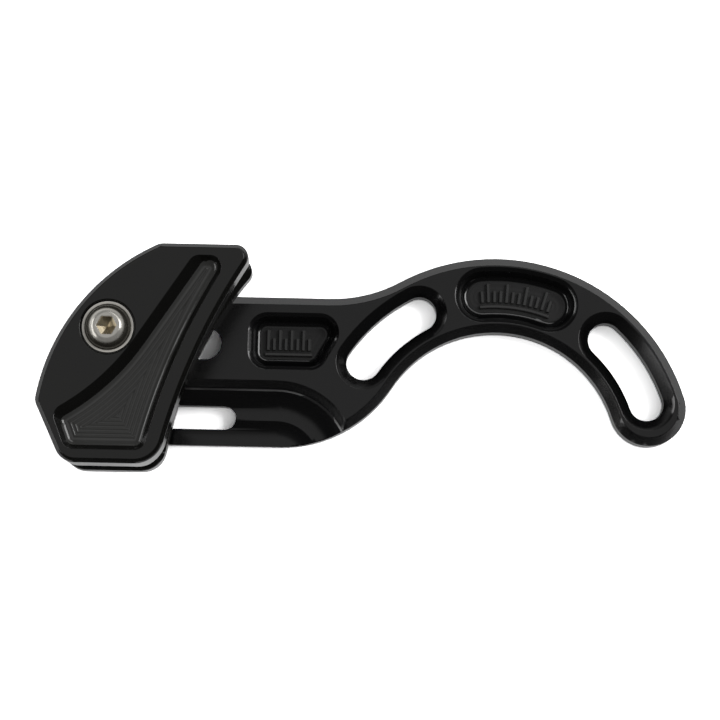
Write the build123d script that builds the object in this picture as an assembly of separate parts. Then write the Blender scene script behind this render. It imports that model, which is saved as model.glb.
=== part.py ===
from build123d import *
import os
from math import asin, cos, degrees, hypot, radians, sin, sqrt, tan
from typing import NamedTuple

# Bicycle chain guide: a milled back plate that hooks round the bottom bracket, and a two plate cage
# that slides along the plate's two parallel slots and is clamped there by one bolt.
# Millimetres. Origin on the bottom bracket axis, on the plate's back face. +Z points away from the frame,
# +X runs along the slots from the cage towards the bottom bracket.

# Mount on the frame's tabs: arc slots for M6 bolts round the bottom bracket axis
mount_radius = 28.0
mount_slot_width = 6.0
mount_slot_bevel = 1.8
rear_slot_start_angle = 119.0
rear_slot_end_angle = 145.9
front_slot_start_angle = 19.9
front_slot_end_angle = 47.2
hook_width = 13.1
hook_tip_angle = 18.0

# Back plate outline
plate_thickness = 5.0
plate_bevel = 1.4
arm_top = 26.86
arm_bottom = 0.75
shoulder_radius = 24.4
bulge_radius = 22.8
arm_end_inset = 1.0

# Pockets in the plate's face
pocket_depth = 2.6
pocket_wall = 1.1
pocket_foot_radius = 1.2
pocket_mouth_bevel = 0.45
arc_pocket_start_angle = 70.8
arc_pocket_end_angle = 95.2
arc_pocket_land = 2.1
arm_pocket_length = 14.95
arm_pocket_from_slot = 4.8143
arm_pocket_low = 14.45
arm_pocket_high = 23.6
arm_pocket_cut_x = 3.0
arm_pocket_cut_y = 5.4
arm_pocket_corner = 2.9

# Recess along the lower slot: a bevel with a small lip at its foot, then two hollows with a ridge between
recess_edge = 12.08
recess_turn_x = -38.19
recess_turn_radius = 14.55
recess_wall = 1.4
recess_lip_width = 0.36
recess_lip_rise = 0.14
recess_ridge = 6.85
recess_ridge_level = 2.6
recess_low = 11.2
recess_floor = 1.9
recess_upper_hollow = 0.45
recess_lower_hollow = 0.3

# Clamp bolt and the slide that it allows
bolt_x = -65.9
bolt_y = 18.42
slide_in = 14.7
slide_out = 0.5
slot_end_play = 0.3
upper_slot_width = 5.75
bolt_shank = 4.9
bolt_head_diameter = 8.6
bolt_collar_height = 0.6
bolt_collar_width = 0.55
bolt_collar_dish = 0.25
bolt_head_height = 2.75
bolt_dome_swell = 0.36
bolt_crown_diameter = 4.3
bolt_socket_across_flats = 3.0
bolt_socket_depth = 1.9
bolt_hole_clearance = 0.2
counterbore_diameter = 9.05
counterbore_depth = 0.9
counterbore_bevel = 0.15

# Clamp nut in the back of the upper slot, guide pin in the lower slot
nut_width = 8.8
nut_length = 11.0
nut_thickness = 2.6
nut_corner = 1.0
nut_back_clearance = 0.25
thread_clearance = 0.05
pin_diameter = 3.8
pin_from_bolt_x = 3.64
pin_from_bolt_y = -12.82
pin_back_clearance = 0.4
pin_seat_depth = 2.8
pin_tip_bevel = 0.4
running_clearance = 0.1

# Cage outline, measured from the bolt
cage_top = 14.39
cage_top_back = 8.29
cage_back_x = -11.8
cage_back_y = -12.55
cage_back_radius = 35.08
cage_slant_angle = 25.16
cage_top_front_corner = 2.1
cage_low_back_corner = 3.5
cage_back_corner = 2.5

# Front edge and bottom of the outer plate, then of the inner plate
outer_front_top = 24.85
outer_front_low = 8.93
outer_front_hollow = 1.9
outer_bottom = -22.71
outer_low_corner = 5.0
inner_front_top = 25.6
inner_front_low = 8.6
inner_front_hollow = 3.4
inner_bottom = -22.86
inner_low_corner = 4.2

# Cage section, from the back plate outwards
slide_clearance = 0.05
inner_plate_thickness = 4.0
chain_width = 6.9
outer_plate_thickness = 7.8
cage_bevel = 0.7
cage_inside_bevel = 0.4
chain_lead_in = 2.6
inner_lead_in = 1.0
roof_wall = 2.2
roof_inset = 1.2
dowel_diameter = 3.0
dowel_seat = 2.2
dowel_tip_bevel = 0.3
dowel_edge_distance = 4.0
dowel_low_angle = 168.0
dowel_high_angle = 124.0

# Milled pocket in the outer plate's face
face_pocket_depth = 1.5
face_pocket_wall = 1.2
face_pocket_back_wall = 2.1
face_pocket_corner = 2.0
face_pocket_margin = 2.8
face_pocket_top = 12.4
face_pocket_low = -20.5
face_pocket_top_back = 13.94
face_pocket_knee_x = 4.65
face_pocket_knee_y = -1.67
face_pocket_back_x = -8.9
face_pocket_back_y = -14.2
face_pocket_low_back_x = -6.5

# Levels that follow from the section
inner_plate_back = plate_thickness + slide_clearance
inner_plate_face = inner_plate_back + inner_plate_thickness
outer_plate_back = inner_plate_face + chain_width
outer_plate_face = outer_plate_back + outer_plate_thickness
bolt_seat = outer_plate_face - counterbore_depth
nut_groove_depth = nut_back_clearance + nut_thickness + slide_clearance
recess_ledge = plate_thickness - recess_wall

# Places that follow from the bolt and the slide
hook_inner = mount_radius - hook_width / 2
hook_outer = mount_radius + hook_width / 2
bolt_at = Vector(bolt_x, bolt_y)
pin_at = bolt_at + Vector(pin_from_bolt_x, pin_from_bolt_y)
lower_slot_width = pin_diameter + 2 * running_clearance
bolt_hole = bolt_shank + 2 * bolt_hole_clearance
roof_radius = bolt_at.length - bolt_hole / 2 - roof_wall
far = 60.0


class CageFront(NamedTuple):
    """Ends and depth of a cage plate's hollow front edge, and the radius of the corner below it."""
    top: Vector
    low: Vector
    hollow: float
    corner: float


outer_front = CageFront(bolt_at + Vector(outer_front_top, cage_top),
                        bolt_at + Vector(outer_front_low, outer_bottom),
                        outer_front_hollow, outer_low_corner)
inner_front = CageFront(bolt_at + Vector(inner_front_top, cage_top),
                        bolt_at + Vector(inner_front_low, inner_bottom),
                        inner_front_hollow, inner_low_corner)


def polar(radius, angle, centre=Vector(0, 0)):
    """Point at a radius and an angle in degrees about a centre."""
    return Vector(centre.X + radius * cos(radians(angle)), centre.Y + radius * sin(radians(angle)))


def short_arc(start, end, centre):
    """The shorter arc about a centre between two points at one distance from it."""
    middle = (start + end) * 0.5 - centre
    return ThreePointArc(start, centre + middle.normalized() * (start - centre).length, end)


def round_corner(face, point, radius):
    """Rounds the one corner of a face that lies nearest to a point."""
    corner = face.vertices().sort_by_distance(point)[0]
    return fillet(corner, radius)


def prism(face, low, high):
    """Straight solid from a flat face, between two levels."""
    return extrude(Pos(0, 0, low) * face, high - low)


def sunk(face, high, depth, wall):
    """Cutter that sinks from a level with walls that lean in by a plan width over the depth."""
    lean = degrees(asin(wall / hypot(wall, depth)))
    raised = extrude(face, depth, taper=lean)
    return Pos(0, 0, high) * mirror(raised, about=Plane.XY)


def straight_slot(left, right, y, width):
    """Flat outline of a slot along X between two end centres."""
    return Pos((left + right) / 2, y) * SlotCenterToCenter(right - left, width)


def arc_slot(start, end, width):
    """Flat outline of a slot along the mount's circle between two angles in degrees."""
    return SlotArc(CenterArc((0, 0), mount_radius, start, end - start), width)


def arc_pocket_outline():
    """Flat outline of the pocket between the mount slots, an arc with round ends."""
    return arc_slot(arc_pocket_start_angle, arc_pocket_end_angle, hook_width - 2 * arc_pocket_land)


def arm_pocket_outline():
    """Flat outline of the arm's pocket, a rounded rectangle with its low front corner cut off."""
    right = polar(mount_radius, rear_slot_end_angle).X - arm_pocket_from_slot
    left = right - arm_pocket_length
    points = [(left, arm_pocket_low),
              (right - arm_pocket_cut_x, arm_pocket_low),
              (right, arm_pocket_low + arm_pocket_cut_y),
              (right, arm_pocket_high),
              (left, arm_pocket_high)]
    face = make_face(Polyline(points, close=True))
    return fillet(face.vertices(), arm_pocket_corner)


def cut_plate_pocket(plate, mouth):
    """Sinks a pocket with leaning walls, a rounded foot and a bevelled mouth into the plate's face."""
    cutter = sunk(mouth, plate_thickness, pocket_depth, pocket_wall)
    plate -= fillet(cutter.faces().sort_by(Axis.Z)[0].edges(), pocket_foot_radius)
    rim = (Pos(0, 0, plate_thickness) * mouth).edges()
    edges = [plate.edges().sort_by_distance(edge.center())[0] for edge in rim]
    return chamfer(edges, pocket_mouth_bevel)


def cage_back_centre():
    """Centre of the cage's round back, which joins its back corner to its top."""
    back = bolt_at + Vector(cage_back_x, cage_back_y)
    top_back = bolt_at + Vector(cage_top_back, cage_top)
    middle, normal = chord_of(back, top_back)
    half = (top_back - back).length / 2
    return middle + normal * sqrt(cage_back_radius ** 2 - half ** 2)


def cage_outline(front, inset=0.0):
    """Flat outline of a cage plate with a given front edge, drawn smaller by an inset."""
    back = bolt_at + Vector(cage_back_x, cage_back_y)
    top_back = bolt_at + Vector(cage_top_back, cage_top)
    low_back = Vector(back.X + (back.Y - front.low.Y) * tan(radians(cage_slant_angle)), front.low.Y)
    middle, normal = chord_of(front.low, front.top)
    edges = [Line(low_back, front.low),
             ThreePointArc(front.low, middle - normal * front.hollow, front.top),
             Line(front.top, top_back),
             short_arc(top_back, back, cage_back_centre()),
             Line(back, low_back)]
    face = make_face(Curve() + edges)
    face = round_corner(face, front.top, cage_top_front_corner)
    face = round_corner(face, front.low, front.corner)
    face = round_corner(face, low_back, cage_low_back_corner)
    face = round_corner(face, back, cage_back_corner)
    face = round_corner(face, top_back, cage_back_corner)
    return offset(face, -inset) if inset else face


def chord_of(low, high):
    """Middle of a chord and the unit normal that points to its right."""
    along = (high - low).normalized()
    return (low + high) * 0.5, Vector(along.Y, -along.X)


def front_arc(front):
    """Centre and radius of a cage plate's hollow front edge."""
    middle, normal = chord_of(front.low, front.top)
    half = (front.top - front.low).length / 2
    radius = (half ** 2 + front.hollow ** 2) / (2 * front.hollow)
    return middle + normal * (radius - front.hollow), radius


def lead_in_cutter(front, level, size, outwards):
    """Ring that bevels a plate's inside edge along the cage's hollow front."""
    centre, radius = front_arc(front)
    over = size / 2
    profile = Polyline((radius - over, 0, -over * outwards), (radius + size + over, 0, -over * outwards),
                       (radius - over, 0, (size + over) * outwards), close=True)
    return Pos(centre.X, centre.Y, level) * revolve(make_face(profile), Axis.Z)


def dowel_places():
    """Centres of the two dowels that key the cage's plates and roof together."""
    reach = cage_back_radius - dowel_edge_distance
    return [polar(reach, angle, cage_back_centre()) for angle in (dowel_low_angle, dowel_high_angle)]


def plate_outline():
    """Flat outline of the back plate: hook, shoulder, arm and bulge, all joined by tangent arcs."""
    axis = Vector(0, 0)
    tip = polar(mount_radius, hook_tip_angle)
    tip_outer = polar(hook_outer, hook_tip_angle)
    tip_inner = polar(hook_inner, hook_tip_angle)
    tip_end = tip + Vector(sin(radians(hook_tip_angle)), -cos(radians(hook_tip_angle))) * (hook_width / 2)
    shoulder_y = arm_top + shoulder_radius
    shoulder = Vector(-sqrt((hook_outer + shoulder_radius) ** 2 - shoulder_y ** 2), shoulder_y)
    shoulder_start = shoulder.normalized() * hook_outer
    bulge_y = arm_bottom + bulge_radius
    bulge = Vector(-sqrt((hook_inner + bulge_radius) ** 2 - bulge_y ** 2), bulge_y)
    bulge_end = bulge.normalized() * hook_inner
    left = bolt_at.X - far / 2
    edges = [short_arc(tip_outer, shoulder_start, axis),
             short_arc(shoulder_start, Vector(shoulder.X, arm_top), shoulder),
             Line((shoulder.X, arm_top), (left, arm_top)),
             Line((left, arm_top), (left, arm_bottom)),
             Line((left, arm_bottom), (bulge.X, arm_bottom)),
             short_arc(Vector(bulge.X, arm_bottom), bulge_end, bulge),
             short_arc(bulge_end, tip_inner, axis),
             ThreePointArc(tip_inner, tip_end, tip_outer)]
    outline = make_face(Curve() + edges)
    beyond = Pos(bolt_at.X + cage_top_back - far / 2, bolt_at.Y) * Rectangle(far, 2 * far)
    return outline - (beyond - cage_outline(outer_front, arm_end_inset))


def hollow_arc(start, end, depth):
    """Arc between two points of a cross section that sags below its chord."""
    middle, normal = chord_of(start, end)
    return ThreePointArc(start, middle + normal * depth, end)


def recess_section():
    """Cross section of the recess's cutter: X is the distance from the recess's edge, Y the height."""
    rim = Vector(-recess_wall, plate_thickness + recess_wall)
    foot = Vector(recess_wall, recess_ledge)
    lip = foot + Vector(recess_lip_width, recess_lip_rise)
    ridge = Vector(recess_ridge, recess_ridge_level)
    low = Vector(recess_low, recess_floor)
    end = Vector(recess_turn_radius, recess_floor)
    top = Vector(recess_turn_radius, rim.Y)
    edges = [Line(rim, foot), Line(foot, lip),
             hollow_arc(lip, ridge, recess_upper_hollow),
             hollow_arc(ridge, low, recess_lower_hollow),
             Line(low, end), Line(end, top), Line(top, rim)]
    return make_face(Curve() + edges)


def recess_cutter():
    """Cutter that runs along the lower slot and turns down round the recess's front end."""
    section = recess_section()
    across = Plane((recess_turn_x, recess_edge, 0), x_dir=(0, -1, 0), z_dir=(-1, 0, 0))
    straight = extrude(across * section, far)
    centre = (recess_turn_x, recess_edge - recess_turn_radius, 0)
    inwards = Plane((recess_turn_x + recess_turn_radius, centre[1], 0), x_dir=(-1, 0, 0), z_dir=(0, 1, 0))
    turned = revolve(inwards * section, Axis(centre, (0, 0, 1)), revolution_arc=90)
    return [straight, turned]


def make_back_plate():
    """Milled back plate with its mount slots, pockets, recess and adjusting slots."""
    plate = prism(plate_outline(), 0, plate_thickness)
    plate = chamfer(plate.faces().sort_by(Axis.Z)[-1].outer_wire().edges(), plate_bevel)

    plate -= recess_cutter()

    for start, end in ((rear_slot_start_angle, rear_slot_end_angle),
                       (front_slot_start_angle, front_slot_end_angle)):
        plate -= prism(arc_slot(start, end, mount_slot_width), 0, plate_thickness)
        wide = arc_slot(start, end, mount_slot_width + 2 * mount_slot_bevel)
        plate -= sunk(wide, plate_thickness, mount_slot_bevel, mount_slot_bevel)

    plate = cut_plate_pocket(plate, arc_pocket_outline())
    plate = cut_plate_pocket(plate, arm_pocket_outline())

    upper_left = bolt_at.X - slide_out - slot_end_play
    upper_right = bolt_at.X + slide_in + slot_end_play
    lower_left = pin_at.X - slide_out - slot_end_play
    lower_right = pin_at.X + slide_in + slot_end_play
    plate -= prism(straight_slot(upper_left, upper_right, bolt_at.Y, upper_slot_width), 0, plate_thickness)
    plate -= prism(straight_slot(lower_left, lower_right, pin_at.Y, lower_slot_width), 0, plate_thickness)

    groove_right = upper_right + nut_length / 2
    groove = Pos(groove_right - far / 2, bolt_at.Y) * Rectangle(far, nut_width + 2 * running_clearance)
    plate -= prism(groove, 0, nut_groove_depth)
    return plate


def make_inner_cage_plate():
    """Cage plate that slides on the back plate, with seats for the guide pin and the dowels."""
    plate = prism(cage_outline(inner_front), inner_plate_back, inner_plate_face)
    plate = chamfer(plate.faces().sort_by(Axis.Z)[-1].outer_wire().edges(), cage_inside_bevel)
    plate -= lead_in_cutter(inner_front, inner_plate_face, inner_lead_in, -1)
    plate -= prism(Pos(bolt_at.X, bolt_at.Y) * Circle(bolt_hole / 2), inner_plate_back, inner_plate_face)
    plate -= prism(Pos(pin_at.X, pin_at.Y) * Circle(pin_diameter / 2),
                   inner_plate_back, inner_plate_back + pin_seat_depth)
    for place in dowel_places():
        plate -= prism(Pos(place.X, place.Y) * Circle(dowel_diameter / 2),
                       inner_plate_face - dowel_seat, inner_plate_face)
    return plate


def face_pocket_outline(inset=0.0, back_inset=0.0):
    """Flat outline of the outer plate's milled pocket, a blade, drawn smaller by the insets."""
    centre, radius = front_arc(outer_front)
    front_radius = radius + face_pocket_margin
    top = bolt_at.Y + face_pocket_top
    low = bolt_at.Y + face_pocket_low

    def front_at(y):
        return Vector(centre.X - sqrt(front_radius ** 2 - (y - centre.Y) ** 2), y)

    top_front = front_at(top)
    low_front = front_at(low)
    top_back = Vector(bolt_at.X + face_pocket_top_back, top)
    knee = bolt_at + Vector(face_pocket_knee_x, face_pocket_knee_y)
    back = bolt_at + Vector(face_pocket_back_x, face_pocket_back_y)
    low_back = Vector(bolt_at.X + face_pocket_low_back_x, low)
    run = (knee - top_back).normalized()
    shift = back_inset - inset
    top_back -= Vector(shift / run.Y, 0)
    knee += Vector(-run.Y, run.X) * shift
    back += (low_back - back).normalized() * shift
    edges = [Line(low_back, low_front),
             short_arc(low_front, top_front, centre),
             Line(top_front, top_back),
             Line(top_back, knee),
             TangentArc(knee, back, tangent=run),
             Line(back, low_back)]
    face = make_face(Curve() + edges)
    if inset:
        face = offset(face, -inset, kind=Kind.INTERSECTION)
    corners = face.vertices().sort_by_distance(knee)[1:]
    return fillet(corners, face_pocket_corner - inset)


def make_outer_cage_plate():
    """Thick outer cage plate with a bevelled face, a milled pocket and the bolt's counterbore."""
    plate = prism(cage_outline(outer_front), outer_plate_back, outer_plate_face)
    plate = chamfer(plate.faces().sort_by(Axis.Z)[-1].outer_wire().edges(), cage_bevel)
    plate = chamfer(plate.faces().sort_by(Axis.Z)[0].outer_wire().edges(), cage_inside_bevel)
    plate -= lead_in_cutter(outer_front, outer_plate_back, chain_lead_in, 1)
    floor = face_pocket_outline(face_pocket_wall, face_pocket_back_wall)
    floor = Pos(0, 0, outer_plate_face - face_pocket_depth) * floor
    mouth = Pos(0, 0, outer_plate_face) * face_pocket_outline()
    plate -= loft([floor, mouth], ruled=True)
    bolt_place = Pos(bolt_at.X, bolt_at.Y)
    plate -= prism(bolt_place * Circle(bolt_hole / 2), outer_plate_back, outer_plate_face)
    plate -= prism(bolt_place * Circle(counterbore_diameter / 2), bolt_seat, outer_plate_face)
    plate -= Pos(bolt_at.X, bolt_at.Y, outer_plate_face - counterbore_bevel / 2) * Cone(
        counterbore_diameter / 2, counterbore_diameter / 2 + counterbore_bevel, counterbore_bevel)
    for place in dowel_places():
        plate -= prism(Pos(place.X, place.Y) * Circle(dowel_diameter / 2),
                       outer_plate_back, outer_plate_back + dowel_seat)
    return plate


def make_roof_block():
    """Moulded roof between the cage plates: it spaces them and stops the chain from jumping off."""
    block = cage_outline(outer_front, roof_inset) - Circle(roof_radius)
    block -= Pos(bolt_at.X, bolt_at.Y) * Circle(bolt_hole / 2)
    for place in dowel_places():
        block -= Pos(place.X, place.Y) * Circle(dowel_diameter / 2)
    return prism(block, inner_plate_face, outer_plate_back)


def make_dowel_pins():
    """Two dowels pressed through the roof into both cage plates."""
    length = chain_width + 2 * dowel_seat
    pin = Cylinder(dowel_diameter / 2, length)
    pin = chamfer(pin.edges().filter_by(GeomType.CIRCLE), dowel_tip_bevel)
    middle = (inner_plate_face + outer_plate_back) / 2
    return Compound([Pos(place.X, place.Y, middle) * pin for place in dowel_places()])


def make_clamp_bolt():
    """Button head bolt with a dished collar and a hexagon socket. Its section is drawn from its seat."""
    shank = bolt_shank / 2
    low = nut_back_clearance + thread_clearance - bolt_seat
    rim = Vector(bolt_head_diameter / 2, bolt_collar_height)
    dome_foot = rim - Vector(bolt_collar_width, bolt_collar_dish)
    crown = Vector(bolt_crown_diameter / 2, bolt_head_height)
    middle, normal = chord_of(crown, dome_foot)
    edges = [Line((0, low), (shank, low)), Line((shank, low), (shank, 0)),
             Line((shank, 0), (rim.X, 0)), Line((rim.X, 0), rim), Line(rim, dome_foot),
             ThreePointArc(dome_foot, middle - normal * bolt_dome_swell, crown),
             Line(crown, (0, crown.Y)), Line((0, crown.Y), (0, low))]
    bolt = revolve(Plane.XZ * make_face(Curve() + edges), Axis.Z)
    socket = RegularPolygon(bolt_socket_across_flats / 2, 6, major_radius=False)
    bolt -= prism(socket, bolt_head_height - bolt_socket_depth, bolt_head_height)
    return Pos(bolt_at.X, bolt_at.Y, bolt_seat) * bolt


def make_clamp_nut():
    """Flat nut that can't turn in the groove in the plate's back and slides along it with the cage."""
    nut = prism(fillet(Rectangle(nut_length, nut_width).vertices(), nut_corner), 0, nut_thickness)
    nut -= prism(Circle(bolt_shank / 2 + thread_clearance), 0, nut_thickness)
    return Pos(bolt_at.X, bolt_at.Y, nut_back_clearance) * nut


def make_guide_pin():
    """Pin pressed into the inner cage plate: it rides in the lower slot and stops the cage from turning."""
    length = inner_plate_back + pin_seat_depth - pin_back_clearance
    pin = Cylinder(pin_diameter / 2, length, align=(Align.CENTER, Align.CENTER, Align.MIN))
    pin = chamfer(pin.edges().filter_by(GeomType.CIRCLE), pin_tip_bevel)
    return Pos(pin_at.X, pin_at.Y, pin_back_clearance) * pin


pieces = {
    "back_plate": make_back_plate(),
    "inner_cage_plate": make_inner_cage_plate(),
    "outer_cage_plate": make_outer_cage_plate(),
    "roof_block": make_roof_block(),
    "dowel_pins": make_dowel_pins(),
    "clamp_bolt": make_clamp_bolt(),
    "clamp_nut": make_clamp_nut(),
    "guide_pin": make_guide_pin(),
}

os.makedirs("parts", exist_ok=True)
for node, piece in pieces.items():
    export_step(piece, f"parts/{node}.step")
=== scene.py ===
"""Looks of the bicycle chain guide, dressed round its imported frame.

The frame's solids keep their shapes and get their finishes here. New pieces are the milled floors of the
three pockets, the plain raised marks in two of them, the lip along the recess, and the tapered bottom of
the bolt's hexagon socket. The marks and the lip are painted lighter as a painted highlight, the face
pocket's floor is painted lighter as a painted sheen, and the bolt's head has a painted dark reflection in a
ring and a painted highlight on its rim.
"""

import logging
import math
from dataclasses import dataclass
from enum import Enum
from typing import Any

import bmesh
import bpy
import numpy as np
from mathutils import Matrix, Vector
from mathutils.bvhtree import BVHTree

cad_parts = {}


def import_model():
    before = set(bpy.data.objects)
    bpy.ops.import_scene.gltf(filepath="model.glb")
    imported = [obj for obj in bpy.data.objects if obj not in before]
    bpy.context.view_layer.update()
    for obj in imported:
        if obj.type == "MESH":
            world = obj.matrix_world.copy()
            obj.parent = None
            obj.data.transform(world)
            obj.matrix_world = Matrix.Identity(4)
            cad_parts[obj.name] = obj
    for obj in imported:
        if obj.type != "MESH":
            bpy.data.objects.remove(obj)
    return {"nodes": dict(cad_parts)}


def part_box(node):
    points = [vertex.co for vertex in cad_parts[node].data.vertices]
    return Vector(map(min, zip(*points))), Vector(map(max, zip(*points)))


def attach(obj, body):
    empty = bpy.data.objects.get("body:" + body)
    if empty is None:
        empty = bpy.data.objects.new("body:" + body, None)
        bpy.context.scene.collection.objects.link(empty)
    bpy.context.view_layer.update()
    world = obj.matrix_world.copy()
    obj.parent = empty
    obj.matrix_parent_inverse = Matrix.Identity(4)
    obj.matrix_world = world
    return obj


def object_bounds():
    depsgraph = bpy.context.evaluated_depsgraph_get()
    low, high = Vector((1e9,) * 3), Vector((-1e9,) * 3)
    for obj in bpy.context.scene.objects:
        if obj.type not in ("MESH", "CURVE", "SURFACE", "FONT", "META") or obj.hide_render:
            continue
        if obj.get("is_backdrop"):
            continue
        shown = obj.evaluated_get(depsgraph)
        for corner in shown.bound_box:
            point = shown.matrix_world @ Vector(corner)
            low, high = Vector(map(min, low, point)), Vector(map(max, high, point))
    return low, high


MM = 0.001
# Axis of the clamp bolt
BOLT_AT_MM = (-65.9, 18.42)
# Corners of the frame's facets that round to the same step are one point
WELD_STEP_MM = 0.001
# A facet of a floor lies this near to its level, and its normal rises at least so far
LEVEL_SPREAD_MM = 0.005
FLOOR_RISE = 0.9
# Phase in radians that a wave texture runs through in one unit
WAVE_PHASE = 20.0
# Most values of a noise texture lie between these
NOISE_LOW = 0.3
NOISE_HIGH = 0.7
log = logging.getLogger("chain_guide")

Socket = bpy.types.NodeSocket
Piece = bpy.types.Object


class Body(Enum):
    """The two bodies that the slide joins."""

    ARM = "arm"
    CAGE = "cage"


def linear(hex_colour: str) -> tuple[float, float, float, float]:
    """Turns an sRGB hex value into linear RGBA.

    Args:
        hex_colour: Six hex digits with a leading hash sign.

    Returns:
        Linear red, green and blue, and an alpha of 1.
    """
    shares = [int(hex_colour[start:start + 2], 16) / 255 for start in (1, 3, 5)]
    red, green, blue = [share / 12.92 if share <= 0.04045 else ((share + 0.055) / 1.055) ** 2.4
                        for share in shares]
    return red, green, blue, 1.0


def per_metre(size_mm: float) -> float:
    """Turns the width of a pattern's cell, in millimetres, into a texture scale."""
    return 1.0 / (size_mm * MM)


def add_node(tree: bpy.types.NodeTree, kind: str, inputs: dict[str | int, Any] | None = None,
             **settings: Any) -> bpy.types.Node:
    """Adds a node with its settings and links.

    Args:
        tree: Node tree that gets the node.
        kind: Type name of the node.
        inputs: Value, or socket to link from, for each input by its name or index.
        settings: Values for the node's own properties.

    Returns:
        The new node.
    """
    node = tree.nodes.new(kind)
    for key, value in settings.items():
        setattr(node, key, value)
    for key, value in (inputs or {}).items():
        if isinstance(value, Socket):
            tree.links.new(value, node.inputs[key])
        else:
            node.inputs[key].default_value = value
    return node


class Finish:
    """What every finish shares: its material, with one surface shader."""

    name: str

    def start(self) -> tuple[bpy.types.Material, bpy.types.NodeTree]:
        """Makes the empty material.

        Returns:
            The material and its node tree.
        """
        material = bpy.data.materials.new(self.name)
        material.use_nodes = True
        material.node_tree.nodes.clear()
        return material, material.node_tree

    def close(self, tree: bpy.types.NodeTree, surface: Socket) -> None:
        """Links a surface to the material's output."""
        add_node(tree, "ShaderNodeOutputMaterial", {"Surface": surface})


@dataclass(frozen=True)
class AnodisedAluminium(Finish):
    """Milled aluminium, blasted, then anodised and dyed black: a dark satin skin of clear oxide.

    The eye sees hardly any colour of its own. The skin mirrors bright surroundings softly on bevels and
    walls, and its fine blasted grain breaks the reflections up.
    """

    name: str
    colour: str
    cloud_colour: str
    roughness: float
    ior: float = 1.7
    grain_mm: float = 0.16
    grain_depth_mm: float = 0.004
    cloud_mm: float = 14.0
    roughness_spread: float = 0.06

    def material(self) -> bpy.types.Material:
        """Builds the material.

        Returns:
            The finished material.
        """
        material, tree = self.start()
        place = add_node(tree, "ShaderNodeTexCoord").outputs["Object"]
        # Blasted grain is finer than this, and is drawn as coarse as it needs to show
        grain = add_node(tree, "ShaderNodeTexNoise", {"Vector": place, "Scale": per_metre(self.grain_mm),
                                                      "Detail": 3.0, "Roughness": 0.6}).outputs["Fac"]
        cloud = add_node(tree, "ShaderNodeTexNoise", {"Vector": place, "Scale": per_metre(self.cloud_mm),
                                                      "Detail": 4.0, "Roughness": 0.55}).outputs["Fac"]
        colour = add_node(tree, "ShaderNodeMix", {"Factor": cloud, "A": linear(self.colour),
                                                  "B": linear(self.cloud_colour)}, data_type="RGBA")
        mixed = add_node(tree, "ShaderNodeMath", {0: grain, 1: cloud}, operation="ADD").outputs[0]
        gloss = add_node(tree, "ShaderNodeMapRange", {
            "Value": mixed, "From Min": 2 * NOISE_LOW, "From Max": 2 * NOISE_HIGH,
            "To Min": self.roughness - self.roughness_spread,
            "To Max": self.roughness + self.roughness_spread}).outputs["Result"]
        bump = add_node(tree, "ShaderNodeBump", {"Height": grain, "Strength": 0.35,
                                                 "Distance": self.grain_depth_mm * MM}).outputs["Normal"]
        shader = add_node(tree, "ShaderNodeBsdfPrincipled", {
            "Base Color": colour.outputs["Result"], "Roughness": gloss, "Normal": bump, "IOR": self.ior})
        self.close(tree, shader.outputs["BSDF"])
        return material


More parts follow.
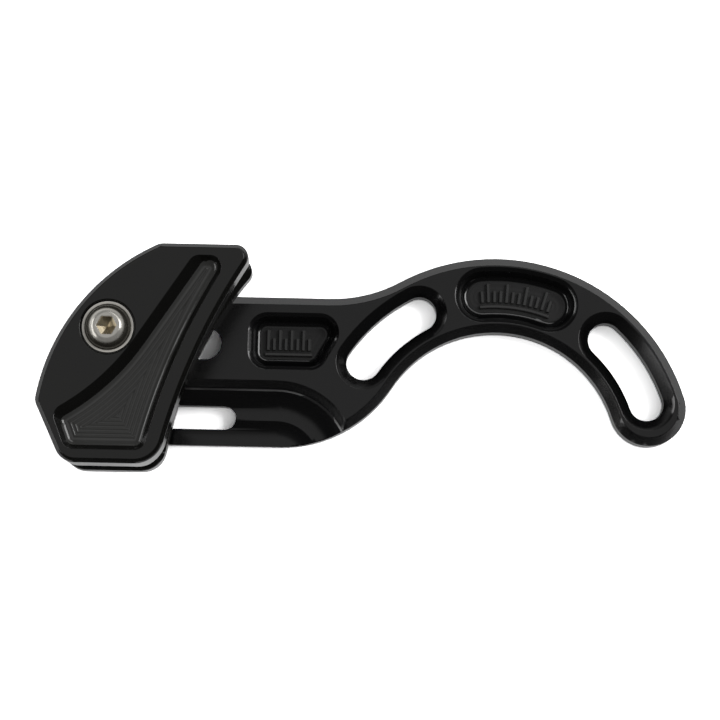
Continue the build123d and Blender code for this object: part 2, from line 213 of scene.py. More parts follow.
@dataclass(frozen=True)
class TurnedSteel(Finish):
    """Steel turned or ground round an axis: bright metal with faint rings that stretch the highlights.

    The ring, where one is given, is darkened as a painted dark reflection. The rim outside it is made less
    metallic and so lighter, a painted highlight.
    """

    name: str
    colour: str
    dull_colour: str
    roughness: float
    axis_mm: tuple[float, float]
    # Ring darkened as a painted dark reflection, and its colour
    painted_dark_ring_mm: tuple[float, float] = (0.0, 0.0)
    painted_dark_ring_colour: str = "#4a4740"
    ring_fade_mm: float = 0.15
    rim_fade_mm: float = 0.05
    # How metallic the head looks inside the ring's outer edge and outside it; the lower value on the rim is
    # a painted highlight
    crown_metallic: float = 0.7
    rim_metallic: float = 0.2
    roughness_range: tuple[float, float] = (0.8, 1.25)
    ring_mm: float = 1.382
    ring_depth_mm: float = 0.003
    cloud_mm: float = 2.5

    def material(self) -> bpy.types.Material:
        """Builds the material.

        Returns:
            The finished material.
        """
        material, tree = self.start()
        place = add_node(tree, "ShaderNodeTexCoord").outputs["Object"]
        offset = (-self.axis_mm[0] * MM, -self.axis_mm[1] * MM, 0.0)
        round_axis = add_node(tree, "ShaderNodeMapping", {
            "Vector": place, "Location": offset}).outputs["Vector"]
        # Turning leaves finer rings than these, which are drawn as coarse as they need to show
        scale = per_metre(self.ring_mm) * math.tau / WAVE_PHASE
        rings = add_node(tree, "ShaderNodeTexWave", {
            "Vector": round_axis, "Scale": scale, "Distortion": 1.2, "Detail": 2.0},
            wave_type="RINGS", rings_direction="Z").outputs["Fac"]
        cloud = add_node(tree, "ShaderNodeTexNoise", {"Vector": place, "Scale": per_metre(self.cloud_mm),
                                                      "Detail": 3.0}).outputs["Fac"]
        colour = add_node(tree, "ShaderNodeMix", {"Factor": cloud, "A": linear(self.colour),
                                                  "B": linear(self.dull_colour)}, data_type="RGBA")
        metal: float | Socket = 1.0
        # Painted dark reflection in the ring, and a painted highlight on the rim outside it
        if any(self.painted_dark_ring_mm):
            dull, metal = self.painted_ring_masks(tree, round_axis)
            colour = add_node(tree, "ShaderNodeMix", {
                "Factor": dull, "A": colour.outputs["Result"],
                "B": linear(self.painted_dark_ring_colour)}, data_type="RGBA")
        smoothest, roughest = self.roughness_range
        gloss = add_node(tree, "ShaderNodeMapRange", {
            "Value": cloud, "From Min": NOISE_LOW, "From Max": NOISE_HIGH,
            "To Min": self.roughness * smoothest, "To Max": self.roughness * roughest}).outputs["Result"]
        bump = add_node(tree, "ShaderNodeBump", {"Height": rings, "Strength": 0.25,
                                                 "Distance": self.ring_depth_mm * MM}).outputs["Normal"]
        shader = add_node(tree, "ShaderNodeBsdfPrincipled", {
            "Base Color": colour.outputs["Result"], "Roughness": gloss, "Normal": bump, "Metallic": metal})
        self.close(tree, shader.outputs["BSDF"])
        return material

    def painted_ring_masks(self, tree: bpy.types.NodeTree, round_axis: Socket) -> tuple[Socket, Socket]:
        """Adds the masks of the ring darkened as a painted dark reflection and of the rim made lighter as a
        painted highlight.

        Args:
            tree: Node tree of the material.
            round_axis: Place measured from the axis.

        Returns:
            Socket that is 1 in the ring, and socket for how metallic the surface looks, less on the rim.
        """
        flat = add_node(tree, "ShaderNodeVectorMath", {0: round_axis, 1: (1.0, 1.0, 0.0)},
                        operation="MULTIPLY").outputs["Vector"]
        radius = add_node(tree, "ShaderNodeVectorMath", {0: flat}, operation="LENGTH").outputs["Value"]
        inner, outer = (rim * MM for rim in self.painted_dark_ring_mm)
        soft = self.ring_fade_mm * MM
        crisp = self.rim_fade_mm * MM
        rise = add_node(tree, "ShaderNodeMapRange", {
            "Value": radius, "From Min": inner - soft, "From Max": inner + soft}).outputs["Result"]
        fall = add_node(tree, "ShaderNodeMapRange", {
            "Value": radius, "From Min": outer + crisp, "From Max": outer - crisp}).outputs["Result"]
        ring = add_node(tree, "ShaderNodeMath", {0: rise, 1: fall}, operation="MULTIPLY").outputs[0]
        metal = add_node(tree, "ShaderNodeMapRange", {
            "Value": radius, "From Min": outer - crisp, "From Max": outer + crisp,
            "To Min": self.crown_metallic, "To Max": self.rim_metallic}).outputs["Result"]
        return ring, metal


@dataclass(frozen=True)
class MouldedNylon(Finish):
    """Black nylon from a spark-eroded mould: a dull, slightly pebbled skin."""

    name: str
    colour: str
    roughness: float
    ior: float = 1.53
    pebble_mm: float = 0.3
    pebble_depth_mm: float = 0.012
    roughness_spread: float = 0.08

    def material(self) -> bpy.types.Material:
        """Builds the material.

        Returns:
            The finished material.
        """
        material, tree = self.start()
        place = add_node(tree, "ShaderNodeTexCoord").outputs["Object"]
        pebble = add_node(tree, "ShaderNodeTexNoise", {"Vector": place, "Scale": per_metre(self.pebble_mm),
                                                       "Detail": 4.0}).outputs["Fac"]
        gloss = add_node(tree, "ShaderNodeMapRange", {
            "Value": pebble, "From Min": NOISE_LOW, "From Max": NOISE_HIGH,
            "To Min": self.roughness - self.roughness_spread,
            "To Max": self.roughness + self.roughness_spread}).outputs["Result"]
        bump = add_node(tree, "ShaderNodeBump", {"Height": pebble, "Strength": 0.5,
                                                 "Distance": self.pebble_depth_mm * MM}).outputs["Normal"]
        shader = add_node(tree, "ShaderNodeBsdfPrincipled", {
            "Base Color": linear(self.colour), "Roughness": gloss, "Normal": bump, "IOR": self.ior})
        self.close(tree, shader.outputs["BSDF"])
        return material


def seen_directly(tree: bpy.types.NodeTree) -> Socket:
    """Adds the test for rays by which the camera sees a surface, straight or through a mirror or glass.

    Args:
        tree: Node tree of the table's or the world's shader.

    Returns:
        Socket that is 1 for those rays.
    """
    path = add_node(tree, "ShaderNodeLightPath").outputs
    mirrored = add_node(tree, "ShaderNodeMath", {
        0: path["Is Glossy Ray"], 1: path["Is Transmission Ray"]}, operation="MAXIMUM").outputs[0]
    return add_node(tree, "ShaderNodeMath", {0: path["Is Camera Ray"], 1: mirrored},
                    operation="MAXIMUM").outputs[0]


@dataclass(frozen=True)
class WhiteTable(Finish):
    """Matt white table: it keeps the guide's shadow, is white in mirrors and overexposed to the camera."""

    name: str = "white_table"
    paper: float = 0.8
    paper_seen: float = 1.0
    overexposure: float = 2.2

    def material(self) -> bpy.types.Material:
        """Builds the material.

        Returns:
            The finished material.
        """
        material, tree = self.start()
        plain = add_node(tree, "ShaderNodeMapRange", {
            "Value": seen_directly(tree), "To Min": self.paper,
            "To Max": self.paper_seen}).outputs["Result"]
        camera_ray = add_node(tree, "ShaderNodeLightPath").outputs["Is Camera Ray"]
        white = add_node(tree, "ShaderNodeMath", {0: camera_ray, 1: self.overexposure, 2: plain},
                         operation="MULTIPLY_ADD").outputs[0]
        matt = add_node(tree, "ShaderNodeBsdfDiffuse", {"Color": white}).outputs["BSDF"]
        self.close(tree, matt)
        return material


@dataclass(frozen=True)
class EdgeBreak:
    """Small rounding that deburring leaves on every edge of a machined piece."""

    width_mm: float
    segments: int = 2
    sharp_deg: float = 22.0
    flat_deg: float = 0.3
    weld_mm: float = 0.002
    face_weight: int = 100

    def apply(self, piece: Piece) -> None:
        """Adds the modifiers that join the piece's facets and round its edges.

        Args:
            piece: Object whose edges are rounded.
        """
        weld = piece.modifiers.new("weld", "WELD")
        weld.merge_threshold = self.weld_mm * MM
        flats = piece.modifiers.new("flats", "DECIMATE")
        flats.decimate_type = "DISSOLVE"
        flats.angle_limit = math.radians(self.flat_deg)
        rounding = piece.modifiers.new("rounding", "BEVEL")
        rounding.width = self.width_mm * MM
        rounding.segments = self.segments
        rounding.limit_method = "ANGLE"
        rounding.angle_limit = math.radians(self.sharp_deg)
        rounding.use_clamp_overlap = False
        shading = piece.modifiers.new("shading", "WEIGHTED_NORMAL")
        shading.weight = self.face_weight
        shading.keep_sharp = False


def dress(node: Piece, material: bpy.types.Material, edge: EdgeBreak) -> None:
    """Gives a node of the frame its finish and its broken edges.

    Args:
        node: Object of the frame.
        material: Finish to wear.
        edge: Rounding of its edges.
    """
    node.data.materials.clear()
    node.data.materials.append(material)
    edge.apply(node)
    log.info("dressed %s", node.name)


def new_piece(name: str, bm: bmesh.types.BMesh, material: bpy.types.Material, body: Body) -> Piece:
    """Makes an object from a mesh and lets it ride on a body.

    Args:
        name: Name of the piece.
        bm: Its mesh, in metres in the frame. It is freed here.
        material: Finish to wear.
        body: Body that carries it.

    Returns:
        The new object.
    """
    mesh = bpy.data.meshes.new(name)
    bm.to_mesh(mesh)
    bm.free()
    mesh.materials.append(material)
    piece = bpy.data.objects.new(name, mesh)
    bpy.context.scene.collection.objects.link(piece)
    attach(piece, body.value)
    log.info("made %s with %d faces", name, len(mesh.polygons))
    return piece


def floor_loops(node: Piece, level: float) -> list[np.ndarray]:
    """Finds the outlines of a node's flat floors at one height.

    Args:
        node: Object of the frame.
        level: Height of the floors, in metres.

    Returns:
        One array of points for each outline, counter-clockwise seen from above.
    """
    mesh = node.data
    points = np.array([vertex.co for vertex in mesh.vertices])
    on_level = np.abs(points[:, 2] - level) < LEVEL_SPREAD_MM * MM
    welded = [tuple(np.round(point[:2] / (WELD_STEP_MM * MM)).astype(int)) for point in points]
    sides = set()
    for face in mesh.polygons:
        if face.normal.z > FLOOR_RISE and all(on_level[index] for index in face.vertices):
            ring = [welded[index] for index in face.vertices]
            sides.update(zip(ring, ring[1:] + ring[:1]))
    following = {start: end for start, end in sides if (end, start) not in sides}
    loops = []
    while following:
        start, spot = following.popitem()
        loop = [start]
        while spot != start:
            loop.append(spot)
            spot = following.pop(spot)
        loops.append(np.array(loop, float) * WELD_STEP_MM * MM)
    return loops


@dataclass(frozen=True)
class MilledPocket:
    """Floor of a milled pocket: passes that run parallel to its outline.

    Where the frame's pocket has a sharp foot, the floor brings a rounded one that climbs its walls.
    """

    name: str
    near_mm: tuple[float, float]
    depth_mm: float
    pass_mm: float
    cusp_mm: float
    foot_radius_mm: float = 0.0
    sample_mm: float = 0.16
    skin_mm: float = 0.012
    foot_rows: int = 7
    rows_per_pass: int = 8
    reach_step_mm: float = 0.04
    probe_mm: float = 0.1
    drop_mm: float = 5.0
    lean_spread: int = 3

    def outline(self, node: Piece, level: float) -> np.ndarray:
        """Finds the pocket's floor outline and spaces its points evenly.

        Args:
            node: Object that holds the pocket.
            level: Height of its floor, in metres.

        Returns:
            Points of the closed outline, counter-clockwise.
        """
        near = np.array(self.near_mm) * MM
        loop = min(floor_loops(node, level), key=lambda points: np.linalg.norm(points.mean(0) - near))
        closed = np.vstack([loop, loop[:1]])
        travel = np.concatenate([[0.0], np.cumsum(np.linalg.norm(np.diff(closed, axis=0), axis=1))])
        count = int(travel[-1] / (self.sample_mm * MM))
        stops = np.linspace(0.0, travel[-1], count, endpoint=False)
        return np.stack([np.interp(stops, travel, closed[:, axis]) for axis in (0, 1)], axis=1)

    @staticmethod
    def inward(points: np.ndarray) -> np.ndarray:
        """Works out which way is inwards at each point of an outline.

        Args:
            points: Points of a closed outline, counter-clockwise.

        Returns:
            Unit normals that point inwards.
        """
        along = np.roll(points, -1, axis=0) - np.roll(points, 1, axis=0)
        along /= np.linalg.norm(along, axis=1, keepdims=True)
        return np.stack([-along[:, 1], along[:, 0]], axis=1)

    @staticmethod
    def reach(points: np.ndarray, normals: np.ndarray, step: float) -> np.ndarray:
        """Measures how far each point can move inwards before another part of the outline is nearer.

        Args:
            points: Points of the outline.
            normals: Unit normals that point inwards.
            step: Step of the search, in metres.

        Returns:
            The reach of each point, in metres.
        """
        found = np.full(len(points), np.inf)
        distance = 0.0
        while np.isinf(found).any():
            distance += step
            moved = points + normals * distance
            nearest = np.linalg.norm(moved[:, None] - points[None], axis=2).min(axis=1)
            met = np.isinf(found) & (nearest < distance - step * 0.5)
            found[met] = distance
        return found

    def leans(self, node: Piece, level: float, points: np.ndarray, normals: np.ndarray) -> np.ndarray:
        """Measures how steeply the pocket's walls rise from its floor, by rays from above.

        Args:
            node: Object that holds the pocket.
            level: Height of its floor, in metres.
            points: Points of the floor's outline.
            normals: Unit normals that point inwards.

        Returns:
            Slope of the wall behind each point, in radians, evened out along the outline.
        """
        vertices = [vertex.co for vertex in node.data.vertices]
        solid = BVHTree.FromPolygons(vertices, [face.vertices for face in node.data.polygons])
        top = level + self.drop_mm * MM
        down = Vector((0.0, 0.0, -1.0))
        probes = points - normals * self.probe_mm * MM
        hits = [solid.ray_cast(Vector((x, y, top)), down) for x, y in probes]
        found = np.array([math.acos(wall_normal.z) for _, wall_normal, _, _ in hits])
        shifts = range(-self.lean_spread, self.lean_spread + 1)
        return np.mean([np.roll(found, shift) for shift in shifts], axis=0)

    def section(self, lean: float, reach: float) -> tuple[np.ndarray, np.ndarray]:
        """Works out the floor's section at one point of its outline, from the foot's top inwards.

        Args:
            lean: Slope of the wall behind the point, in radians.
            reach: Reach from the point into the pocket, in metres.

        Returns:
            Distance from the outline and height over the floor of each row, in metres.
        """
        radius = self.foot_radius_mm * MM
        start = radius * math.tan(lean / 2)
        section = []
        for row in range(self.foot_rows if radius else 0):
            turn = lean * (1 - row / self.foot_rows)
            section.append((start - radius * math.sin(turn), radius * (1 - math.cos(turn))))
        step = self.pass_mm * MM / self.rows_per_pass
        for row in range(int((reach - start) / step) + 2):
            phase = row / self.rows_per_pass
            section.append((start + row * step, self.cusp_mm * MM * (1 - abs(math.cos(math.pi * phase)))))
        return np.array(section).T

    def build(self, node: Piece, material: bpy.types.Material, body: Body, slot: str) -> Piece:
        """Builds the floor as a thin skin on the frame's pocket.

        Args:
            node: Object that holds the pocket.
            material: Finish to wear.
            body: Body that carries it.
            slot: Not used.

        Returns:
            The new piece.
        """
        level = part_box(node.name)[1].z - self.depth_mm * MM
        points = self.outline(node, level)
        normals = self.inward(points)
        reach = self.reach(points, normals, self.reach_step_mm * MM)
        leans = self.leans(node, level, points, normals)
        bm = bmesh.new()
        columns = []
        for point, normal, far, lean in zip(points, normals, reach, leans):
            inset, heights = self.section(lean, far)
            column = []
            for distance in inset:
                stopped = min(distance, far)
                lift = float(np.interp(stopped, inset, heights)) + self.skin_mm * MM
                spot = point + normal * stopped
                column.append(bm.verts.new((spot[0], spot[1], level + lift)))
                if distance > far:
                    break
            columns.append(column)
        for here, following in zip(columns, columns[1:] + columns[:1]):
            for row in range(max(len(here), len(following)) - 1):
                quad = [here[min(row, len(here) - 1)], following[min(row, len(following) - 1)],
                        following[min(row + 1, len(following) - 1)], here[min(row + 1, len(here) - 1)]]
                befores = quad[-1:] + quad[:-1]
                ring = [vertex for vertex, before in zip(quad, befores) if vertex is not before]
                if len(ring) > 2:
                    bm.faces.new(ring).smooth = True
        return new_piece(self.name, bm, material, body)


@dataclass(frozen=True)
class RaisedMarks:
    """Plain scales of raised ribs on the pockets' floors: a base line with ticks.

    Every second tick of the straight scale and every third of the round one is long.
    """

    width_mm: float = 0.74
    height_mm: float = 0.6
    lean_mm: float = 0.1
    bevel_mm: float = 0.09
    floor_mm: float = 2.4
    tick_gap_mm: float = 0.75
    straight_ends_mm: tuple[float, float] = (-40.4, -32.2)
    straight_base_mm: float = 16.95
    straight_tops_mm: tuple[float, float] = (21.2, 19.7)
    straight_ticks: int = 8
    round_ends_deg: tuple[float, float] = (69.6, 96.4)
    round_base_mm: float = 26.2
    round_tops_mm: tuple[float, float] = (30.2, 28.9)
    round_ticks: int = 12
    round_steps: int = 24

    def rib(self, bm: bmesh.types.BMesh, path: list[Vector]) -> None:
        """Adds a raised rib with sloping sides along a path.

        Args:
            bm: Mesh that gets the rib.
            path: Points in the plane of the floor, in millimetres.
        """
        half = self.width_mm / 2
        shoulder = self.height_mm - self.bevel_mm
        outer = half - self.lean_mm
        inner = outer - self.bevel_mm
        section = [(-half, 0.0), (-outer, shoulder), (-inner, self.height_mm),
                   (inner, self.height_mm), (outer, shoulder), (half, 0.0)]
        rings = []
        for index, spot in enumerate(path):
            before = path[max(index - 1, 0)]
            after = path[min(index + 1, len(path) - 1)]
            along = (after - before).normalized()
            side = Vector((along.y, -along.x))
            corners_mm = [Vector((*(spot + side * x), self.floor_mm + z)) for x, z in section]
            rings.append([bm.verts.new(corner * MM) for corner in corners_mm])
        for here, following in zip(rings, rings[1:]):
            for quad in zip(here, following, following[1:] + following[:1], here[1:] + here[:1]):
                bm.faces.new(quad)
        bm.faces.new(rings[0])
        bm.faces.new(rings[-1][::-1])

    def straight_scale(self, material: bpy.types.Material) -> Piece:
        """Builds the straight scale in the arm's pocket.

        Args:
            material: Finish to wear.

        Returns:
            The new piece.
        """
        left, right = self.straight_ends_mm
        long_top, short_top = self.straight_tops_mm
        base = self.straight_base_mm
        bm = bmesh.new()
        self.rib(bm, [Vector((left, base)), Vector((right, base))])
        for index in range(self.straight_ticks):
            x = left + (right - left) * (index + 0.5) / self.straight_ticks
            top = long_top if index % 2 == 0 else short_top
            self.rib(bm, [Vector((x, base + self.tick_gap_mm)), Vector((x, top))])
        return new_piece("arm_pocket_scale", bm, material, Body.ARM)

    @staticmethod
    def spoke(angle_deg: float) -> Vector:
        """Gives the unit vector from the mount's middle at an angle from the frame's X axis."""
        angle = math.radians(angle_deg)
        return Vector((math.cos(angle), math.sin(angle)))

    def round_scale(self, material: bpy.types.Material) -> Piece:
        """Builds the round scale in the hook's pocket.

        Args:
            material: Finish to wear.

        Returns:
            The new piece.
        """
        start, end = self.round_ends_deg
        long_top, short_top = self.round_tops_mm
        base = self.round_base_mm
        bm = bmesh.new()
        angles = [start + (end - start) * stop / self.round_steps for stop in range(self.round_steps + 1)]
        self.rib(bm, [self.spoke(angle) * base for angle in angles])
        for index in range(self.round_ticks):
            along = self.spoke(start + (end - start) * (index + 0.5) / self.round_ticks)
            top = long_top if index % 3 == 1 else short_top
            self.rib(bm, [along * (base + self.tick_gap_mm), along * top])
        return new_piece("hook_pocket_scale", bm, material, Body.ARM)


@dataclass(frozen=True)
class BackPlate:
    """The milled plate with its hook, slots, pockets and recess."""

    finish: AnodisedAluminium = AnodisedAluminium(
        "black_anodised_plate", colour="#060606", cloud_colour="#0a0a0b", roughness=0.17)
    floor_finish: AnodisedAluminium = AnodisedAluminium(
        "black_anodised_floor", colour="#050505", cloud_colour="#090909", roughness=0.5)
    # Lighter colour of the raised marks and the recess's lip: painted highlight
    painted_highlight_finish: AnodisedAluminium = AnodisedAluminium(
        "black_anodised_painted_highlight", colour="#2b2b2b", cloud_colour="#343433", roughness=0.3)
    edge: EdgeBreak = EdgeBreak(width_mm=0.06)
    arm_pocket: MilledPocket = MilledPocket(
        "arm_pocket_floor", near_mm=(-35.5, 19.2), depth_mm=2.6, pass_mm=0.8, cusp_mm=0.012)
    hook_pocket: MilledPocket = MilledPocket(
        "hook_pocket_floor", near_mm=(3.3, 27.6), depth_mm=2.6, pass_mm=0.8, cusp_mm=0.012)
    marks: RaisedMarks = RaisedMarks()
    lip_level_mm: tuple[float, float] = (3.55, 3.76)
    lip_rise: float = 0.932
    lip_rise_spread: float = 0.003
    lip_skin_mm: float = 0.012

    def painted_highlight_lip(self, plate: Piece, material: bpy.types.Material) -> Piece:
        """Builds the lip along the recess as a skin on the frame's lip, painted lighter as a painted
        highlight.

        Args:
            plate: The plate's object in the frame.
            material: Finish to wear.

        Returns:
            The new piece.
        """
        low, high = self.lip_level_mm
        bm = bmesh.new()
        for face in plate.data.polygons:
            leans_alike = abs(face.normal.z - self.lip_rise) < self.lip_rise_spread
            if low < face.center.z / MM < high and leans_alike:
                lift = face.normal * self.lip_skin_mm * MM
                places = [plate.data.vertices[index].co for index in face.vertices]
                bm.faces.new([bm.verts.new(place + lift) for place in places])
        return new_piece("recess_lip", bm, material, Body.ARM)

    def build(self, nodes: dict[str, Piece]) -> None:
        """Dresses the plate, lays the floors and marks in its pockets and a skin on the recess's lip, the
        marks and the lip painted lighter as a painted highlight.

        Args:
            nodes: Objects of the frame by name.
        """
        plate = nodes["back_plate"]
        floor = self.floor_finish.material()
        for pocket in (self.arm_pocket, self.hook_pocket):
            pocket.build(plate, floor, Body.ARM, "plate_anodised")
        # The marks and the lip wear a lighter colour that is a painted highlight
        painted_highlight = self.painted_highlight_finish.material()
        self.marks.straight_scale(painted_highlight)
        self.marks.round_scale(painted_highlight)
        self.painted_highlight_lip(plate, painted_highlight)
        dress(plate, self.finish.material(), self.edge)


@dataclass(frozen=True)
class Cage:
    """The two cage plates, the roof between them, the dowels that key them and the guide pin."""

    finish: AnodisedAluminium = AnodisedAluminium(
        "black_anodised_cage", colour="#080807", cloud_colour="#0d0d0b", roughness=0.12)
    # Lighter colour of the face pocket's floor: painted sheen of its milled passes
    floor_finish: AnodisedAluminium = AnodisedAluminium(
        "black_anodised_painted_sheen", colour="#333332", cloud_colour="#3b3b3a", roughness=0.16)
    roof_finish: MouldedNylon = MouldedNylon("black_moulded_nylon", colour="#161616", roughness=0.55)
    pin_finish: TurnedSteel = TurnedSteel(
        "ground_pin_steel", colour="#b9b8b4", dull_colour="#9b9a96", roughness=0.3, axis_mm=(-70.0, 20.0))
    edge: EdgeBreak = EdgeBreak(width_mm=0.06)
    roof_edge: EdgeBreak = EdgeBreak(width_mm=0.1)
    pin_edge: EdgeBreak = EdgeBreak(width_mm=0.05)
    face_pocket: MilledPocket = MilledPocket(
        "face_pocket_floor", near_mm=(-65.0, 12.0), depth_mm=1.5, pass_mm=0.67, cusp_mm=0.11,
        foot_radius_mm=1.5)

    def build(self, nodes: dict[str, Piece]) -> None:
        """Dresses the cage's pieces and mills the floor of its face pocket, whose lighter colour is a
        painted sheen.

        Args:
            nodes: Objects of the frame by name.
        """
        material = self.finish.material()
        # The face pocket's floor wears a lighter colour that is a painted sheen
        milled = self.floor_finish.material()
        self.face_pocket.build(nodes["outer_cage_plate"], milled, Body.CAGE, "cage_anodised")
        for name in ("inner_cage_plate", "outer_cage_plate"):
            dress(nodes[name], material, self.edge)
        dress(nodes["roof_block"], self.roof_finish.material(), self.roof_edge)
        pin_material = self.pin_finish.material()
        for name in ("dowel_pins", "guide_pin"):
            dress(nodes[name], pin_material, self.pin_edge)


@dataclass(frozen=True)
class Clamp:
    """The bolt that clamps the cage, with the tapered bottom of its socket, and its flat nut."""

    # The bolt's head has a ring painted dark as a painted dark reflection and a rim lightened as a painted
    # highlight
    bolt_finish: TurnedSteel = TurnedSteel(
        "polished_stainless", colour="#e6e3dc", dull_colour="#d2cec5", roughness=0.26, axis_mm=BOLT_AT_MM,
        painted_dark_ring_mm=(2.85, 3.9))
    nut_finish: TurnedSteel = TurnedSteel(
        "turned_nut_steel", colour="#a9a8a5", dull_colour="#8f8e8b", roughness=0.36, axis_mm=BOLT_AT_MM)
    socket_finish: TurnedSteel = TurnedSteel(
        "broached_stainless", colour="#e0d3b8", dull_colour="#c9b999", roughness=0.26, axis_mm=BOLT_AT_MM)
    socket_sides: int = 6
    socket_flats_mm: float = 3.0
    socket_depth_mm: float = 1.9
    socket_skin_mm: float = 0.02
    taper_mm: float = 0.9
    bolt_edge: EdgeBreak = EdgeBreak(width_mm=0.09)
    nut_edge: EdgeBreak = EdgeBreak(width_mm=0.1)

    def socket_bottom(self, top: float, material: bpy.types.Material) -> Piece:
        """Builds the six facets that the broach leaves at the bottom of the socket.

        Args:
            top: Height of the bolt's crown, in metres.
            material: Finish to wear.

        Returns:
            The new piece.
        """
        low = top - self.socket_depth_mm * MM + self.socket_skin_mm * MM
        centre = Vector((BOLT_AT_MM[0] * MM, BOLT_AT_MM[1] * MM, 0.0))
        corner = self.socket_flats_mm / 2 / math.cos(math.pi / self.socket_sides) * MM
        bm = bmesh.new()
        point = bm.verts.new(centre + Vector((0.0, 0.0, low)))
        rim = []
        for index in range(self.socket_sides):
            angle = math.radians(360 / self.socket_sides * index)
            out = Vector((math.cos(angle), math.sin(angle), 0.0)) * corner
            rim.append(bm.verts.new(centre + out + Vector((0.0, 0.0, low + self.taper_mm * MM))))
        for here, following in zip(rim, rim[1:] + rim[:1]):
            bm.faces.new((point, here, following))
        return new_piece("bolt_socket_bottom", bm, material, Body.CAGE)

    def build(self, nodes: dict[str, Piece]) -> None:
        """Dresses the bolt and the nut and shapes the bottom of the bolt's socket.

        Args:
            nodes: Objects of the frame by name.
        """
        self.socket_bottom(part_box("clamp_bolt")[1].z, self.socket_finish.material())
        dress(nodes["clamp_bolt"], self.bolt_finish.material(), self.bolt_edge)
        dress(nodes["clamp_nut"], self.nut_finish.material(), self.nut_edge)


@dataclass(frozen=True)
class Softbox:
    """One soft studio lamp: where it hangs and how large it is, in metres, and how bright its face is."""

    name: str
    place: tuple[float, float, float]
    size: tuple[float, float]
    radiance: float

    def build(self, aim: Vector) -> None:
        """Hangs the lamp and turns it to a point.

        Args:
            aim: Point that it faces, in metres.
        """
        lamp = bpy.data.lights.new(self.name, "AREA")
        lamp.shape = "RECTANGLE"
        lamp.size, lamp.size_y = self.size
        lamp.energy = self.radiance * math.pi * self.size[0] * self.size[1]
        holder = bpy.data.objects.new(self.name, lamp)
        holder.location = self.place
        holder.rotation_euler = (aim - Vector(self.place)).to_track_quat("-Z", "Y").to_euler()
        bpy.context.scene.collection.objects.link(holder)


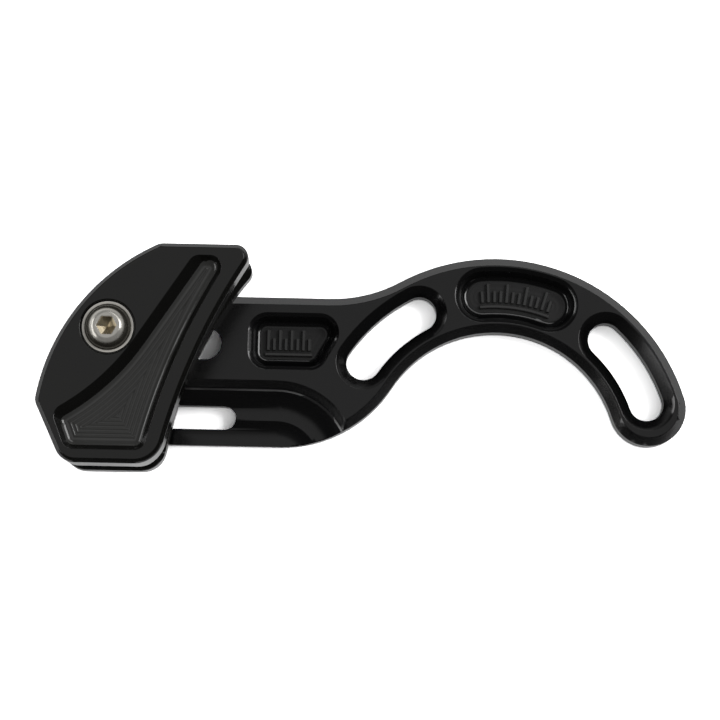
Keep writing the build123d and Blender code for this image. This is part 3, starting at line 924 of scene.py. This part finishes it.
@dataclass(frozen=True)
class Studio:
    """White table in a dark room, under soft lamps.

    The ceiling fades in between two cosines of the angle from its middle. The backdrop fades out between two
    heights of a direction, and in between two depths of it.
    """

    aim_mm: tuple[float, float, float] = (-23.803, 16.595, 0.0)
    camera_mm: tuple[float, float, float] = (-22.731, -34.579, 416.869)
    roll_deg: float = 1.2
    lens_mm: float = 119.175
    sensor_mm: float = 36.0
    nearest_mm: float = 10.0
    table_finish: WhiteTable = WhiteTable()
    table_size_mm: float = 6000.0
    table_gap_mm: float = 0.02
    fill_level: float = 0.63
    ceiling_level: float = 0.35
    ceiling_way: tuple[float, float, float] = (0.0, 0.16, 0.987)
    ceiling_fade: tuple[float, float] = (0.88, 0.985)
    wall_level: float = 0.03
    backdrop_level: float = 0.35
    backdrop_top: tuple[float, float] = (0.05, 0.3)
    backdrop_front: tuple[float, float] = (-0.1, 0.4)
    lamps: tuple[Softbox, ...] = (
        Softbox("key_lamp", place=(0.3, 0.65, 0.62), size=(0.8, 0.25), radiance=1.6),
        Softbox("left_lamp", place=(-0.85, -0.03, 0.31), size=(1.1, 0.2), radiance=2.4),
        Softbox("right_lamp", place=(0.62, 0.21, 0.6), size=(0.44, 0.36), radiance=5.0))

    def camera(self) -> None:
        """Sets the camera at the photograph's viewing angle."""
        place = Vector(self.camera_mm) * MM
        back = (place - Vector(self.aim_mm) * MM).normalized()
        roll = math.radians(self.roll_deg)
        right = Vector((math.cos(roll), math.sin(roll), 0.0))
        up = back.cross(right)
        turn = Matrix((right, up, back)).transposed()
        lens = bpy.data.cameras.new("camera")
        lens.lens = self.lens_mm
        lens.sensor_width = self.sensor_mm
        lens.clip_start = self.nearest_mm * MM
        holder = bpy.data.objects.new("camera", lens)
        holder.matrix_world = Matrix.Translation(place) @ turn.to_4x4()
        bpy.context.scene.collection.objects.link(holder)
        bpy.context.scene.camera = holder

    def table(self) -> None:
        """Lays the white table just under the guide."""
        half = self.table_size_mm / 2 * MM
        low = -self.table_gap_mm * MM
        mesh = bpy.data.meshes.new("table")
        square = [(-half, -half, low), (half, -half, low), (half, half, low), (-half, half, low)]
        mesh.from_pydata(square, [], [(0, 1, 2, 3)])
        mesh.materials.append(self.table_finish.material())
        table = bpy.data.objects.new("table", mesh)
        bpy.context.scene.collection.objects.link(table)
        table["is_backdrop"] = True

    def room(self) -> None:
        """Sets the world: white to the camera, plain light to dull surfaces, and to mirrors a dark room.

        The room has a grey ceiling and a grey backdrop behind the table's far side and ends.
        """
        world = bpy.data.worlds.new("room")
        bpy.context.scene.world = world
        world.use_nodes = True
        tree = world.node_tree
        tree.nodes.clear()
        way = add_node(tree, "ShaderNodeTexCoord").outputs["Generated"]
        axes = add_node(tree, "ShaderNodeSeparateXYZ", {"Vector": way}).outputs
        overhead = add_node(tree, "ShaderNodeVectorMath", {0: way, 1: self.ceiling_way},
                            operation="DOT_PRODUCT").outputs["Value"]
        ceiling = add_node(tree, "ShaderNodeMapRange", {
            "Value": overhead, "From Min": self.ceiling_fade[0], "From Max": self.ceiling_fade[1],
            "To Min": self.wall_level, "To Max": self.ceiling_level},
            interpolation_type="SMOOTHSTEP").outputs["Result"]
        low = add_node(tree, "ShaderNodeMapRange", {
            "Value": axes["Z"], "From Min": self.backdrop_top[0], "From Max": self.backdrop_top[1],
            "To Min": self.backdrop_level, "To Max": 0.0},
            interpolation_type="SMOOTHSTEP").outputs["Result"]
        behind = add_node(tree, "ShaderNodeMapRange", {
            "Value": axes["Y"], "From Min": self.backdrop_front[0], "From Max": self.backdrop_front[1]},
            interpolation_type="SMOOTHSTEP").outputs["Result"]
        backdrop = add_node(tree, "ShaderNodeMath", {0: low, 1: behind}, operation="MULTIPLY").outputs[0]
        mirrored = add_node(tree, "ShaderNodeMath", {
            0: ceiling, 1: backdrop}, operation="MAXIMUM").outputs[0]
        lit = add_node(tree, "ShaderNodeMix", {
            "Factor": seen_directly(tree), "A": self.fill_level, "B": mirrored}).outputs["Result"]
        camera_ray = add_node(tree, "ShaderNodeLightPath").outputs["Is Camera Ray"]
        level = add_node(tree, "ShaderNodeMix", {
            "Factor": camera_ray, "A": lit, "B": 1.0}).outputs["Result"]
        surround = add_node(tree, "ShaderNodeBackground", {"Strength": level}).outputs["Background"]
        add_node(tree, "ShaderNodeOutputWorld", {"Surface": surround})

    def build(self) -> None:
        """Sets up the camera, the table, the room and the lamps."""
        bpy.context.scene.view_settings.view_transform = "Standard"
        self.camera()
        self.table()
        self.room()
        for lamp in self.lamps:
            lamp.build(Vector(self.aim_mm) * MM)


def corners() -> list[list[float]]:
    """Gives the lowest and the highest corner of the shown object as plain lists."""
    bpy.context.view_layer.update()
    return [list(corner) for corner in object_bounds()]


def main() -> None:
    """Dresses the frame, builds the new pieces and the studio, and works out the boxes of the frame and of
    the shown object.
    """
    logging.basicConfig(level=logging.INFO, format="%(message)s")
    bpy.ops.wm.read_factory_settings(use_empty=True)
    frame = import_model()
    cad_box = corners()
    for part in (BackPlate(), Cage(), Clamp()):
        part.build(frame["nodes"])
    Studio().build()
    {"cad": cad_box, "visual": corners()}


if __name__ == "__main__":
    main()
